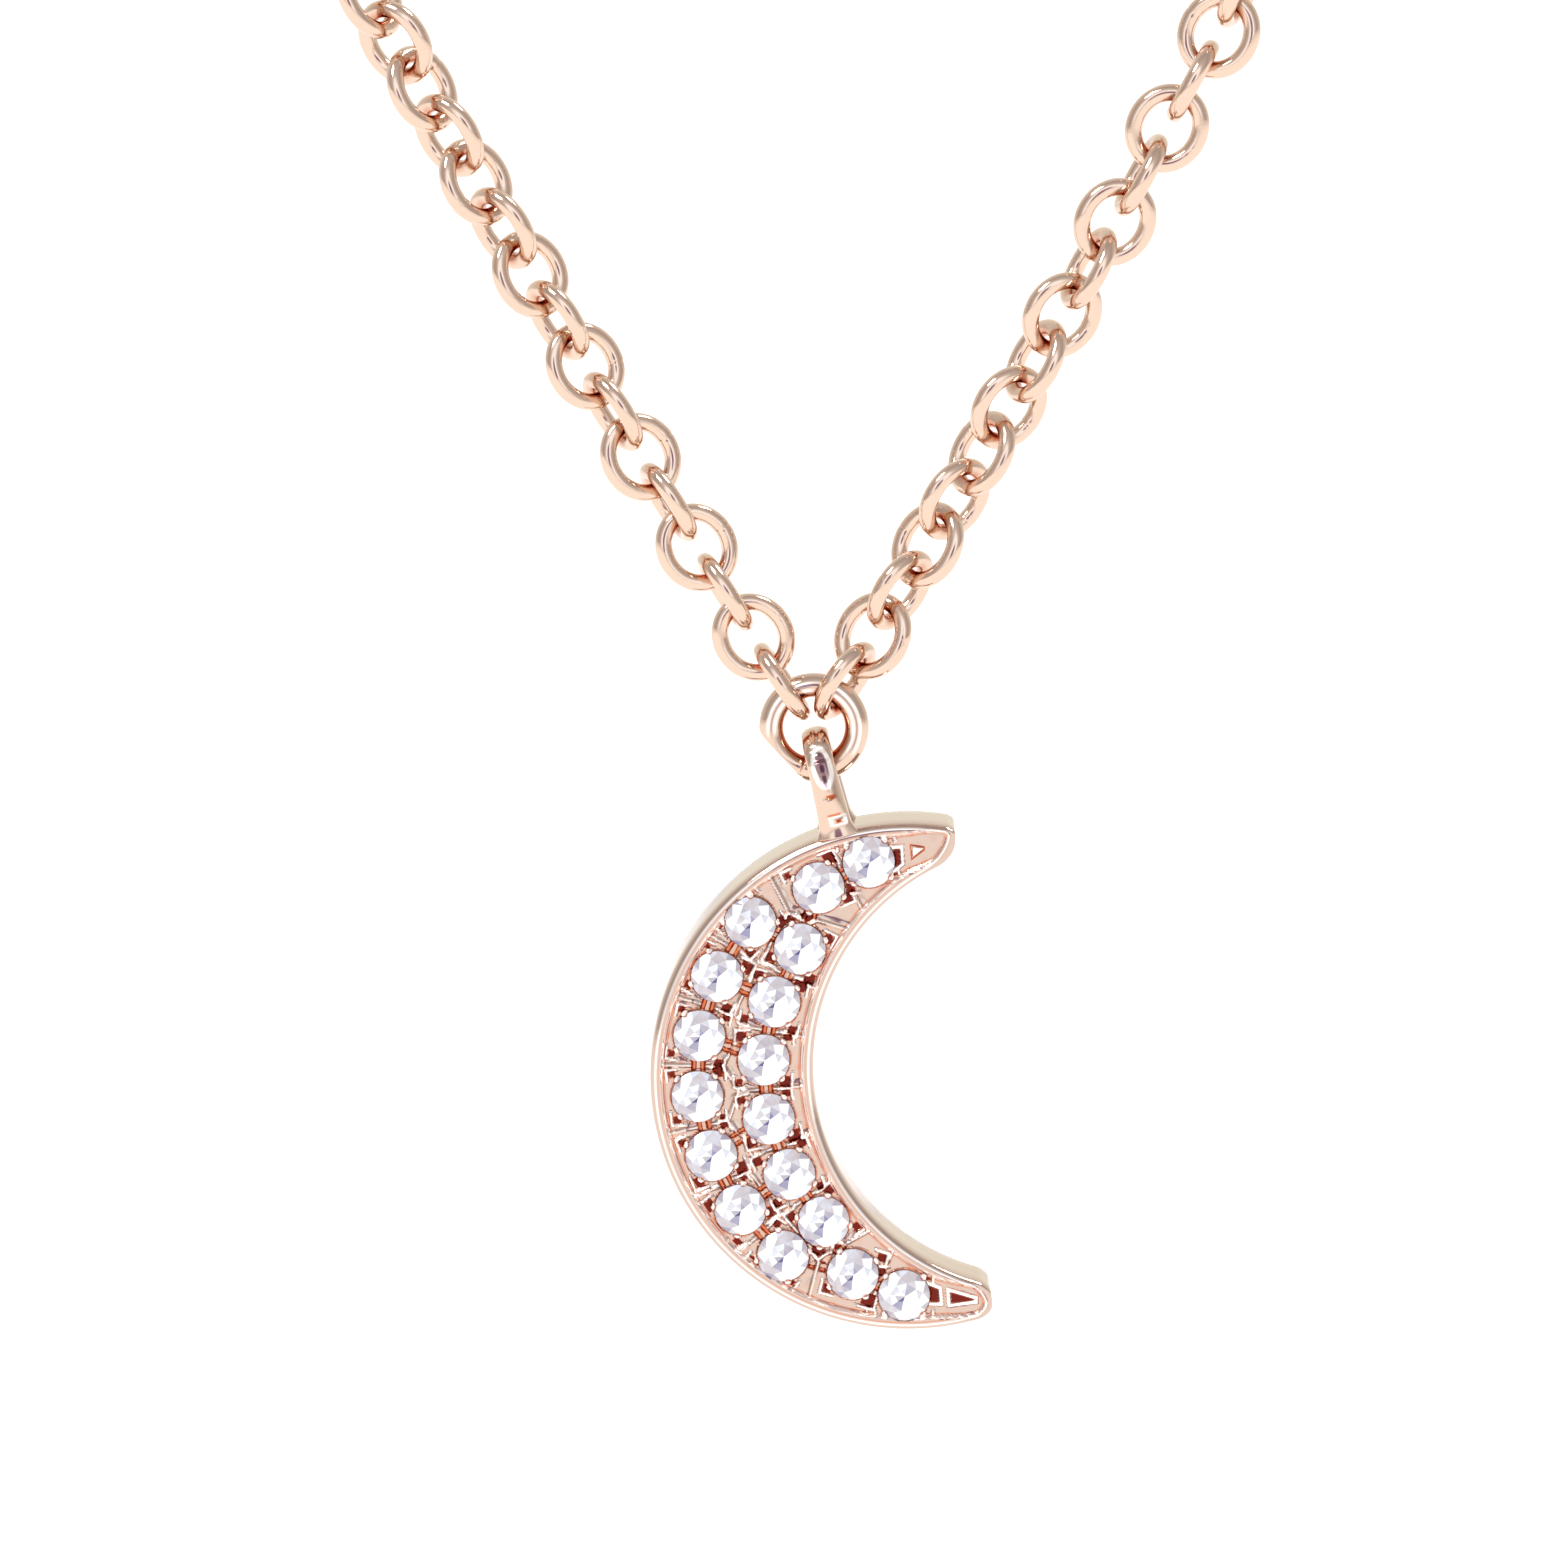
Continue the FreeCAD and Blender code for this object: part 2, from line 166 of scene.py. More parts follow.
# ---- materials --------------------------------------------------------------------------------
class Nodes:
    """Short way to add and link shader nodes."""

    def __init__(self, name):
        self.material = bpy.data.materials.new(name)
        self.material.use_nodes = True
        self.tree = self.material.node_tree
        self.shader = self.tree.nodes["Principled BSDF"]

    def add(self, kind, inputs=(), **settings):
        node = self.tree.nodes.new(kind)
        for key, value in settings.items():
            setattr(node, key, value)
        for key, value in dict(inputs).items():
            if isinstance(value, bpy.types.NodeSocket):
                self.tree.links.new(value, node.inputs[key])
            else:
                node.inputs[key].default_value = value
        return node

    def ramp(self, value, stops):
        node = self.add("ShaderNodeValToRGB", {"Fac": value})
        ramp = node.color_ramp
        while len(ramp.elements) < len(stops):
            ramp.elements.new(0.5)
        for element, (place, colour) in zip(ramp.elements, stops):
            element.position = place
            element.color = (*colour, 1)
        return node.outputs["Color"]

    def mix(self, amount, first, second):
        node = self.add("ShaderNodeMixRGB", {0: amount, 1: first, 2: second})
        return node.outputs[0]

    def to_shader(self, socket, name):
        self.tree.links.new(socket, self.shader.inputs[name])


def rose_gold(name, deep, plain, roughness, scratch, grain, painted_crevice_shade_reach=0.20, with_painted_light=False):
    """Polished rose gold with polishing marks, and painted shade that makes it deeper and redder in
    crevices. With painted light from the points it also gets painted highlights, painted shade and painted
    dark reflections.
    """
    n = Nodes(name)
    place = n.add("ShaderNodeTexCoord").outputs["Object"]
    # painted shade: ambient occlusion pulls the crevices towards the deep and darker colours
    painted_crevice_shade = n.add("ShaderNodeAmbientOcclusion", {"Distance": painted_crevice_shade_reach * MM}, samples=6)
    cloud = n.add("ShaderNodeTexNoise", {"Vector": place, "Scale": grain * 400, "Detail": 3})
    mixed = n.add("ShaderNodeMath", {0: cloud.outputs["Fac"], 1: 0.16,
                                     2: painted_crevice_shade.outputs["AO"]}, operation="MULTIPLY_ADD")
    # deep is the colour of the painted crevice shade, plain the metal's own colour
    middle = [(a * 0.5 + b * 0.5) for a, b in zip(deep, plain)]
    dark = [c * 0.55 for c in deep]
    colour = n.ramp(mixed.outputs[0], [(0.10, dark), (0.30, deep), (0.56, middle),
                                       (0.90, plain), (1.0, [min(1, c * 1.03) for c in plain])])
    if with_painted_light:
        # painted light from the points: below 0 painted shade, redder and darker; above 0 painted
        # highlight, paler and slightly glowing
        painted_light = n.add("ShaderNodeAttribute", attribute_name="painted_light").outputs["Fac"]
        low = n.add("ShaderNodeMapRange", {"Value": painted_light, "From Min": 0.0, "From Max": -1.0})
        recess_painted_shade = n.ramp(low.outputs["Result"], [(0.0, plain), (0.5, (0.62, 0.20, 0.095)),
                                                (0.8, (0.28, 0.045, 0.026)),
                                                (1.0, (0.16, 0.020, 0.014))])
        amount = n.add("ShaderNodeMath", {0: low.outputs["Result"], 1: 2.5},
                       operation="MULTIPLY", use_clamp=True)
        colour = n.mix(amount.outputs[0], colour, recess_painted_shade)
        # painted highlight: towards near white, with a little emission
        high = n.add("ShaderNodeMapRange", {"Value": painted_light, "From Min": 0.0, "From Max": 1.0})
        colour = n.mix(high.outputs["Result"], colour, (1.0, 0.93, 0.89, 1))
        painted_highlight_glow = n.add("ShaderNodeMath", {0: high.outputs["Result"], 1: 0.30},
                     operation="MULTIPLY")
        n.to_shader(painted_highlight_glow.outputs[0], "Emission Strength")
        # painted dark reflection: a mauve streak where the metal would mirror the dark middle of the front
        # light
        painted_dark_reflection = n.add("ShaderNodeAttribute", attribute_name="painted_dark_reflection").outputs["Fac"]
        colour = n.mix(painted_dark_reflection, colour, (0.215, 0.105, 0.135, 1))
        n.shader.inputs["Emission Color"].default_value = (1.0, 0.95, 0.92, 1)
    n.to_shader(colour, "Base Color")
    marks = n.add("ShaderNodeTexNoise", {"Vector": place, "Scale": grain * 9000, "Detail": 4})
    rough = n.add("ShaderNodeMapRange", {"Value": marks.outputs["Fac"], "From Min": 0.3,
                                         "From Max": 0.7, "To Min": roughness * 0.6,
                                         "To Max": roughness * 1.5})
    n.to_shader(rough.outputs["Result"], "Roughness")
    soft = n.add("ShaderNodeTexNoise", {"Vector": place, "Scale": grain * 2600, "Detail": 2})
    both = n.add("ShaderNodeMath", {0: marks.outputs["Fac"], 1: 0.12,
                                    2: soft.outputs["Fac"]}, operation="MULTIPLY_ADD")
    bump = n.add("ShaderNodeBump", {"Height": both.outputs[0], "Distance": scratch * MM,
                                    "Strength": 1.0})
    n.to_shader(bump.outputs["Normal"], "Normal")
    n.shader.inputs["Metallic"].default_value = 1.0
    return n.material


# second colour: the painted crevice shade; third: the metal's own colour
GOLD = rose_gold("rose_gold", (0.55, 0.15, 0.05), (0.73, 0.545, 0.435), 0.11, 0.006, 1.0)
# the pave gold also carries the painted highlights and painted shade of the worked face
PLATE_GOLD = rose_gold("rose_gold_pave", (0.58, 0.22, 0.13), (0.60, 0.455, 0.385), 0.10, 0.004, 1.2,
                       painted_crevice_shade_reach=0.09, with_painted_light=True)


# gold for the ring and bail, with their painted highlights, painted shade and painted dark reflections
PAINTED_LIGHT_GOLD = rose_gold("rose_gold_painted_light", (0.55, 0.15, 0.05), (0.70, 0.52, 0.415), 0.11, 0.004,
                      1.0, with_painted_light=True)


def diamond_material():
    """Clear stone whose facets each carry a painted reflection, from dark through lavender and pale blue to
    white, with a faint painted glow.
    """
    n = Nodes("diamond")
    painted_facet_reflection = n.add("ShaderNodeAttribute", attribute_name="painted_facet_reflection").outputs["Fac"]
    place = n.add("ShaderNodeTexCoord").outputs["Object"]
    # small random changes in the painted reflections
    reflection_noise = n.add("ShaderNodeTexNoise", {"Vector": place, "Scale": 5200.0, "Detail": 2})
    spread = n.add("ShaderNodeMath", {0: reflection_noise.outputs["Fac"], 1: -0.5}, operation="ADD")
    shade = n.add("ShaderNodeMath", {0: spread.outputs[0], 1: 0.22, 2: painted_facet_reflection},
                  operation="MULTIPLY_ADD")
    painted_facet_colour = n.ramp(shade.outputs[0], [(0.06, (0.01, 0.015, 0.14)), (0.16, (0.11, 0.11, 0.36)),
                                     (0.36, (0.33, 0.31, 0.42)), (0.58, (0.56, 0.51, 0.53)),
                                     (0.78, (0.76, 0.82, 0.97)), (0.90, (1.0, 1.0, 1.0))])
    n.to_shader(painted_facet_colour, "Base Color")
    n.to_shader(painted_facet_colour, "Emission Color")
    # faint painted glow of the painted reflections
    n.shader.inputs["Emission Strength"].default_value = 0.16
    n.shader.inputs["Specular IOR Level"].default_value = 0.15
    n.shader.inputs["Transmission Weight"].default_value = 0.30
    n.shader.inputs["IOR"].default_value = 2.42
    n.shader.inputs["Roughness"].default_value = 0.0
    return n.material


DIAMOND = diamond_material()


def shown(obj, body, slot, *nodes):
    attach(obj, body)
    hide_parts(*nodes)


# ---- chain ----------------------------------------------------------------------------------------
LINK_WIRE = 0.317
LINK_ARC = 0.585           # the centreline's half width
LINK_STRAIGHT = 0.086      # and how much more its half length is
JOINT_WIRE_SHARE = 0.98    # thinner wire in links beside a joint keeps them clear
SEAM_PINCH, SEAM_WIDTH = 0.055, 0.028       # solder seam: share of the wire, radians
BEAD_SWELL, BEAD_WIDTH = 0.035, 0.07        # and the bead of solder beside it
BEAD_AT = 0.11                              # radians from the seam to the bead
LINK_ROLL, LINK_LEAN = 1.5, 1.0             # degrees, the most a link turns out of line
random.seed(7)


def link_points(around, across, seam, wire):
    """One link round the origin as (width, length, normal) points."""
    u = np.arange(around) / around * 2 * math.pi
    side, up = np.cos(u), np.sin(u)
    path = np.stack([LINK_ARC * side, (LINK_ARC + LINK_STRAIGHT) * up], 1)
    out = np.stack([side, up], 1)
    gap = np.angle(np.exp(1j * (u - seam)))
    swell = (1 - SEAM_PINCH * np.exp(-(gap / SEAM_WIDTH) ** 2)
             + BEAD_SWELL * np.exp(-((gap - BEAD_AT) / BEAD_WIDTH) ** 2))
    radius = wire / 2 * np.minimum(swell, 1.02)
    v = np.arange(across) / across * 2 * math.pi
    flat = path[:, None, :] + (radius[:, None] * np.cos(v))[:, :, None] * out[:, None, :]
    rise = radius[:, None] * np.sin(v)
    return np.concatenate([flat, rise[:, :, None]], 2).reshape(-1, 3)


def chain_node(node, around, across):
    verts, faces = [], []
    solids = solids_of(node)
    for k, (centre, length, _, normal) in enumerate(solids):
        length = length * (1 if length[2] > 0 else -1)
        normal = normal * (1 if normal[1] > 0 else -1)
        # links beside a joint turn out of line less, to keep its clearance
        loose = 1.0 if 0 < k < len(solids) - 1 else 0.25 if node.endswith(("_01", "_02")) else 0.5
        a, b = (math.radians(random.uniform(-s, s)) * loose for s in (LINK_ROLL, LINK_LEAN))
        width = np.cross(normal, length)
        normal, width = (normal * math.cos(a) + width * math.sin(a),
                         width * math.cos(a) - normal * math.sin(a))
        length, width = (length * math.cos(b) + width * math.sin(b),
                         width * math.cos(b) - length * math.sin(b))
        wire = LINK_WIRE * (1.0 if loose == 1.0 else JOINT_WIRE_SHARE)
        seam = random.uniform(-0.5, 0.5) + math.pi * random.randint(0, 1)
        shape = link_points(around, across, seam, wire)
        faces += grid_faces(around, across, sum(len(v) for v in verts))
        verts.append(centre + shape @ np.array([width, length, normal]))
    obj = make_object("show_" + node, np.concatenate(verts), faces, GOLD)
    shown(obj, BODY_OF[node], "rose_gold", node)


for chain_piece in sorted(NODES):
    if "_link_" in chain_piece:
        chain_node(chain_piece, 112, 28)
    elif chain_piece.endswith("_strand_1"):
        chain_node(chain_piece, 72, 20)
    elif "_strand" in chain_piece:
        chain_node(chain_piece, 32, 10)


# ---- jump ring --------------------------------------------------------------------------------------
RING_RADIUS = 0.78
RING_WIRE = 0.44
RING_FLAT_AT, RING_SEAM_AT = math.radians(223), math.radians(254)
RING_FLAT_REACH = 0.785     # from the ring's centre to the filed flat
RING_FLAT_SOFTNESS = 0.018


def jump_ring():
    """A round ring with one side filed flat and a solder seam beside the flat."""
    around, across = 240, 40
    u = np.arange(around) / around * 2 * math.pi
    v = np.arange(across) / across * 2 * math.pi
    centre = np.stack([np.cos(u), 0 * u, np.sin(u)], 1)
    gap = np.angle(np.exp(1j * (u - RING_SEAM_AT)))
    wire = RING_WIRE / 2 * (1 - 0.07 * np.exp(-(gap / 0.022) ** 2)
                            + 0.03 * np.exp(-((gap + 0.07) / 0.04) ** 2))
    reach = RING_RADIUS + wire[:, None] * np.cos(v)
    points = reach[:, :, None] * centre[:, None, :]
    points[:, :, 1] = wire[:, None] * np.sin(v)
    facing = np.array([math.cos(RING_FLAT_AT), 0, math.sin(RING_FLAT_AT)])
    depth = points @ facing
    across_flat = points @ np.array([-math.sin(RING_FLAT_AT), 0, math.cos(RING_FLAT_AT)])

    def pressed(value, limit, softness):
        """value, held smoothly below limit."""
        return limit - softness * np.log1p(np.exp((limit - value) / softness))

    eased = pressed(depth, RING_FLAT_REACH, RING_FLAT_SOFTNESS)
    inner = (np.hypot(depth, across_flat) < RING_RADIUS) & (depth > 0)
    squeeze = np.where(inner, 0.32, 1.0)
    points += ((eased - depth) * squeeze)[:, :, None] * facing
    obj = make_object("jump_ring_wire", RING_CENTRE + points.reshape(-1, 3),
                      grid_faces(around, across), PAINTED_LIGHT_GOLD)
    # painted highlight lines along the front with a painted dark reflection between them, painted redder
    # shade on the inside
    turn = np.abs(np.angle(np.exp(1j * (v - 1.5 * math.pi))))[None, :]
    span = np.maximum(smooth(np.abs(np.angle(np.exp(1j * (u - 0.35)))), 1.05, 0.75),
                      smooth(np.abs(np.angle(np.exp(1j * (u - 2.45)))), 0.95, 0.65))[:, None]
    inside = smooth(-np.cos(v), 0.45, 0.9)[None, :]
    mark(obj, "painted_light", 0.85 * band(turn, 0.27, 0.15) * span - 0.5 * inside)
    mark(obj, "painted_dark_reflection", 0.7 * smooth(turn, 0.13, 0.07) * span)
    return obj


shown(jump_ring(), "jump_ring", "rose_gold", "jump_ring")


# ---- bail ----------------------------------------------------------------------------------------------
BAIL_LEAN = math.radians(13.5)
BAIL_SEAT = math.radians(12)
BAIL_ARCH = 0.57
BAIL_LEG = 1.17
BAIL_HALF_WIDTH = 0.255
BAIL_HALF_THICKNESS = 0.215
BAIL_SQUARENESS = 0.62      # 1 is an ellipse, less is squarer
FOOT_START = 0.86           # how far down the leg it begins to widen
NOTCH_AT = 0.40             # how far down the front leg the notch is
STUB_AT, STUB_SIDE = 0.86, 0.08             # soldered stub: down the front leg, sideways


def bail():
    """A flat bar bent over the ring, wider at its soldered feet."""
    rise = np.array([-math.sin(BAIL_LEAN), 0, math.cos(BAIL_LEAN)])
    width = np.array([math.cos(BAIL_LEAN), 0, math.sin(BAIL_LEAN)])
    seat = RING_CENTRE + RING_RADIUS * np.array([math.sin(BAIL_SEAT), 0, -math.cos(BAIL_SEAT)])
    turn = math.pi * BAIL_ARCH
    along = np.concatenate([np.linspace(-BAIL_LEG, 0, 90, endpoint=False),
                            np.linspace(0, turn, 70, endpoint=False),
                            np.linspace(turn, turn + BAIL_LEG, 40)])
    across = 72
    v = np.arange(across) / across * 2 * math.pi
    cos, sin = np.cos(v), np.sin(v)
    sec_w = np.sign(cos) * np.abs(cos) ** BAIL_SQUARENESS
    sec_t = np.sign(sin) * np.abs(sin) ** BAIL_SQUARENESS
    rows, painted_lights, painted_dark_reflections = [], [], []
    for s in along:
        if s < 0:
            middle, out, down = -rise * -s, np.array([0, -1, 0]), -s
            middle = middle + np.array([0, -BAIL_ARCH, 0])
        elif s < turn:
            a = s / BAIL_ARCH
            out = -np.array([0, 1, 0]) * math.cos(a) + rise * math.sin(a)
            middle, down = out * BAIL_ARCH, 0.0
        else:
            middle, out, down = -rise * (s - turn), np.array([0, 1, 0]), s - turn
            middle = middle + np.array([0, BAIL_ARCH, 0])
        foot = max(0.0, down - FOOT_START) / 0.3
        half_w = BAIL_HALF_WIDTH + 0.05 * down / BAIL_LEG + 0.10 * foot ** 2
        half_t = BAIL_HALF_THICKNESS + 0.03 * foot ** 2
        lift = half_t * sec_t
        face = np.clip(sec_t, 0, 1) ** 4
        x = half_w * sec_w
        lift = lift - 0.07 * face * (x / 0.3) ** 2
        if s <= 0.2:
            bulge = max(0.0, 1 - ((down - 0.36) / 0.62) ** 2)
            lift = lift + 0.10 * face * bulge
        height = down if s < 0 else -s
        if s <= 0.6:
            lift = lift - 0.026 * face * math.exp(-((height + 0.36) / 0.035) ** 2)
            notch = math.exp(-((height - NOTCH_AT) / 0.035) ** 2)
            lift = lift - 0.05 * face * notch * np.exp(-((x + 0.015) / 0.06) ** 4)
            stub = np.exp(-((height - STUB_AT) / 0.055) ** 4 - ((x - STUB_SIDE) / 0.13) ** 4)
            lift = lift + 0.045 * face * stub
        # painted light: a painted highlight round the oval reflection on the bulge with a painted dark
        # reflection inside it, painted shade in the notch below it, a painted highlight edge with painted
        # shade inside on the soldered stub, and a painted shade line just above the stub
        front = (sec_t > 0.3) & (s < 0.6)
        oval = np.hypot((x - 0.015) / 0.205, (height + 0.09) / 0.36)
        drop = np.hypot((x - 0.015) / 0.115, (height + 0.10) / 0.25)
        stub = np.maximum(np.abs(height - STUB_AT) / 0.085, np.abs(x - STUB_SIDE) / 0.15)
        painted_light = 0.95 * smooth(oval, 1.0, 0.86) * smooth(drop, 0.85, 1.05)
        painted_light -= 0.75 * np.exp(-((height - NOTCH_AT) / 0.05) ** 4 - ((x - 0.06) / 0.09) ** 4)
        painted_light += 0.95 * band(stub, 0.85, 0.35) - 0.8 * smooth(stub, 0.45, 0.25)
        painted_light -= 0.5 * band(height, 0.74, 0.04) * smooth(np.abs(x - 0.03), 0.16, 0.10)
        painted_lights.append(np.clip(painted_light, -1, 1) * front)
        painted_dark_reflections.append(smooth(drop, 1.05, 0.85) * front * (0.72 - 0.28 * math.tanh(height / 0.2)))
        rows.append(seat + middle + x[:, None] * width + lift[:, None] * out)
    verts = np.concatenate(rows)
    faces = grid_faces(len(along), across, close_rows=False)
    for row in (0, len(along) - 1):
        faces.append([row * across + k for k in (range(across) if row else
                                                 reversed(range(across)))])
    obj = make_object("bail_bar", verts, faces, PAINTED_LIGHT_GOLD)
    mark(obj, "painted_light", np.concatenate(painted_lights))
    mark(obj, "painted_dark_reflection", np.concatenate(painted_dark_reflections))
    return obj


shown(bail(), "pendant", "rose_gold", "bail")

# ---- crescent plate ----------------------------------------------------------------------------------
OUTER_RADIUS = 4.71
INNER_RADIUS = 4.145
ARC_OFFSET = 2.425
PLATE_TILT = math.radians(4.6)
HORN_REACH = 1.2
HORN_ROUND = {1: (0.20, 0.58), -1: (0.33, 0.38)}     # upper, lower: outer side, inner side
PLATE_CENTRE = (1.72, -6.36)
FRONT = -0.75
BACK = 0.75
RIM = 0.25
FIELD_DEPTH = 0.12
RIM_SLOPE = 0.060           # width of the slope from the rim down to the field
CUT_SLOPE, CUT_DEPTH = 2.2, 0.34
CELL_HALF = 0.480           # half the square cell round each stone
STONES = sorted(n for n in NODES if n.startswith("diamond_"))
STONE_RADIUS = 0.47
tilt_x = np.array([math.cos(PLATE_TILT), math.sin(PLATE_TILT)])
tilt_y = np.array([-math.sin(PLATE_TILT), math.cos(PLATE_TILT)])
PLATE_ORIGIN = RING_CENTRE[[0, 2]] + np.array(PLATE_CENTRE)


def to_plate(p):
    """(x, z) in the frame to the crescent's own axes."""
    q = np.asarray(p) - PLATE_ORIGIN
    return np.stack([q @ tilt_x, q @ tilt_y], -1)


def from_plate(q):
    return PLATE_ORIGIN + q[..., :1] * tilt_x + q[..., 1:] * tilt_y


STONE_AT = np.array([to_plate(box_centre(s)[[0, 2]]) for s in STONES])


def outline(kind, count, horn):
    """Half of the crescent's edge, from the middle of the back to the horn's tip."""
    outer_round, inner_round = HORN_ROUND[horn]
    if kind == "outer":
        centre, radius, sign, rounding = np.zeros(2), OUTER_RADIUS, -1, outer_round
    else:
        centre, radius, sign, rounding = np.array([ARC_OFFSET, 0]), INNER_RADIUS, 1, inner_round
    # fillet circle between the arc and the horn's straight end
    cx = HORN_REACH - rounding
    cy = math.sqrt((radius + sign * rounding) ** 2 - (cx - centre[0]) ** 2)
    fillet = np.array([cx, cy])
    touch = centre + (fillet - centre) / np.linalg.norm(fillet - centre) * radius
    stop = math.atan2(touch[1] - centre[1], -(touch[0] - centre[0]))
    a0 = math.atan2(touch[1] - fillet[1], touch[0] - fillet[0])
    fillet_length = rounding * abs(a0)
    o_y = math.sqrt((OUTER_RADIUS - outer_round) ** 2 - (HORN_REACH - outer_round) ** 2)
    i_y = math.sqrt((INNER_RADIUS + inner_round) ** 2
                    - (HORN_REACH - inner_round - ARC_OFFSET) ** 2)
    tip = (o_y + i_y) / 2
    end_length = abs(fillet[1] - tip)
    t = np.linspace(0, 1, count)
    tail = 0.11
    points = np.empty((count, 2))
    for k, w in enumerate(t):
        if w < 1 - tail:
            a = stop * w / (1 - tail)
            points[k] = centre + radius * np.array([-math.cos(a), math.sin(a)])
        else:
            s = (w - 1 + tail) / tail * (fillet_length + end_length)
            if s < fillet_length:
                a = a0 * (1 - s / fillet_length)
                points[k] = fillet + rounding * np.array([math.cos(a), math.sin(a)])
            else:
                f = (s - fillet_length) / end_length
                points[k] = (HORN_REACH, fillet[1] + (tip - fillet[1]) * f)
    return points * [1, horn]


def edge_distance(q):
    """Distance inside the crescent's edge, near enough for its rim."""
    outer = OUTER_RADIUS - np.linalg.norm(q, axis=-1)
    inner = np.linalg.norm(q - np.array([ARC_OFFSET, 0]), axis=-1) - INNER_RADIUS
    end = HORN_REACH - q[..., 0]

    def cornered(side, r):
        corner = r - np.hypot(np.maximum(r - side, 0), np.maximum(r - end, 0))
        return np.where((side < r) & (end < r), corner, np.minimum(side, end))

    upper = q[..., 1] > 0
    return np.minimum(cornered(outer, np.where(upper, HORN_ROUND[1][0], HORN_ROUND[-1][0])),
                      cornered(inner, np.where(upper, HORN_ROUND[1][1], HORN_ROUND[-1][1])))


def rim_width(q):
    return RIM - 0.09 * smooth(q[..., 0], 0.1, 0.9)


def stone_turns():
    """Direction of each stone's square cell, square to its row."""
    turns = []
    for place in STONE_AT:
        inner = np.linalg.norm(place - np.array([ARC_OFFSET, 0]))
        centre = np.array([ARC_OFFSET, 0]) if inner < 5.15 and abs(place[1]) < 3 else np.zeros(2)
        d = place - centre
        turns.append(math.atan2(d[1], d[0]))
    return turns


STONE_TURN = stone_turns()
random.seed(21)
CELL = np.array([[CELL_HALF + random.uniform(-0.02, 0.035) for _ in range(4)] for _ in STONE_AT])
PIT = np.array([[random.uniform(0.27, 0.37) for _ in range(4)] for _ in STONE_AT])


def horn_middle(x, side):
    """Point on the horn's middle line at x along the crescent's own axis."""
    outer = math.sqrt(OUTER_RADIUS ** 2 - x ** 2)
    inner = math.sqrt(INNER_RADIUS ** 2 - (x - ARC_OFFSET) ** 2)
    return np.array([x, side * (outer + inner) / 2])


def wedge(side, start, length, wide, narrow):
    """A cut along the horn's middle line, wide at its start and narrow at its end."""
    a, b = horn_middle(start, side), horn_middle(start + length, side)
    return [a + [0, wide / 2], b + [0, narrow / 2], b - [0, narrow / 2], a - [0, wide / 2]]


# graver cuts in the horns: a slot beside the last stone and a triangle towards the tip,
# -1: cut into the field and filled with painted shade, with a painted highlight on its raised edge; 1:
# raised a little, with a painted highlight and a painted shade outline
HORN_CUTS = [
    (wedge(1, 0.05, 0.12, 0.34, 0.26), -1),
    (wedge(1, 0.40, 0.20, 0.20, 0.02), 1),
    (wedge(-1, 0.05, 0.18, 0.30, 0.24), -1),
    (wedge(-1, 0.45, 0.42, 0.20, 0.02), -1),
]


def within(q, corners):
    """How far inside a convex polygon each point lies."""
    inside = np.full(q.shape[:-1], 9.0)
    corners = np.array(corners)
    middle = corners.mean(0)
    for a, b in zip(corners, np.roll(corners, -1, axis=0)):
        side = np.array([a[1] - b[1], b[0] - a[0]])
        side = side / np.linalg.norm(side)
        if (middle - a) @ side < 0:
            side = -side
        inside = np.minimum(inside, (q - a) @ side)
    return inside


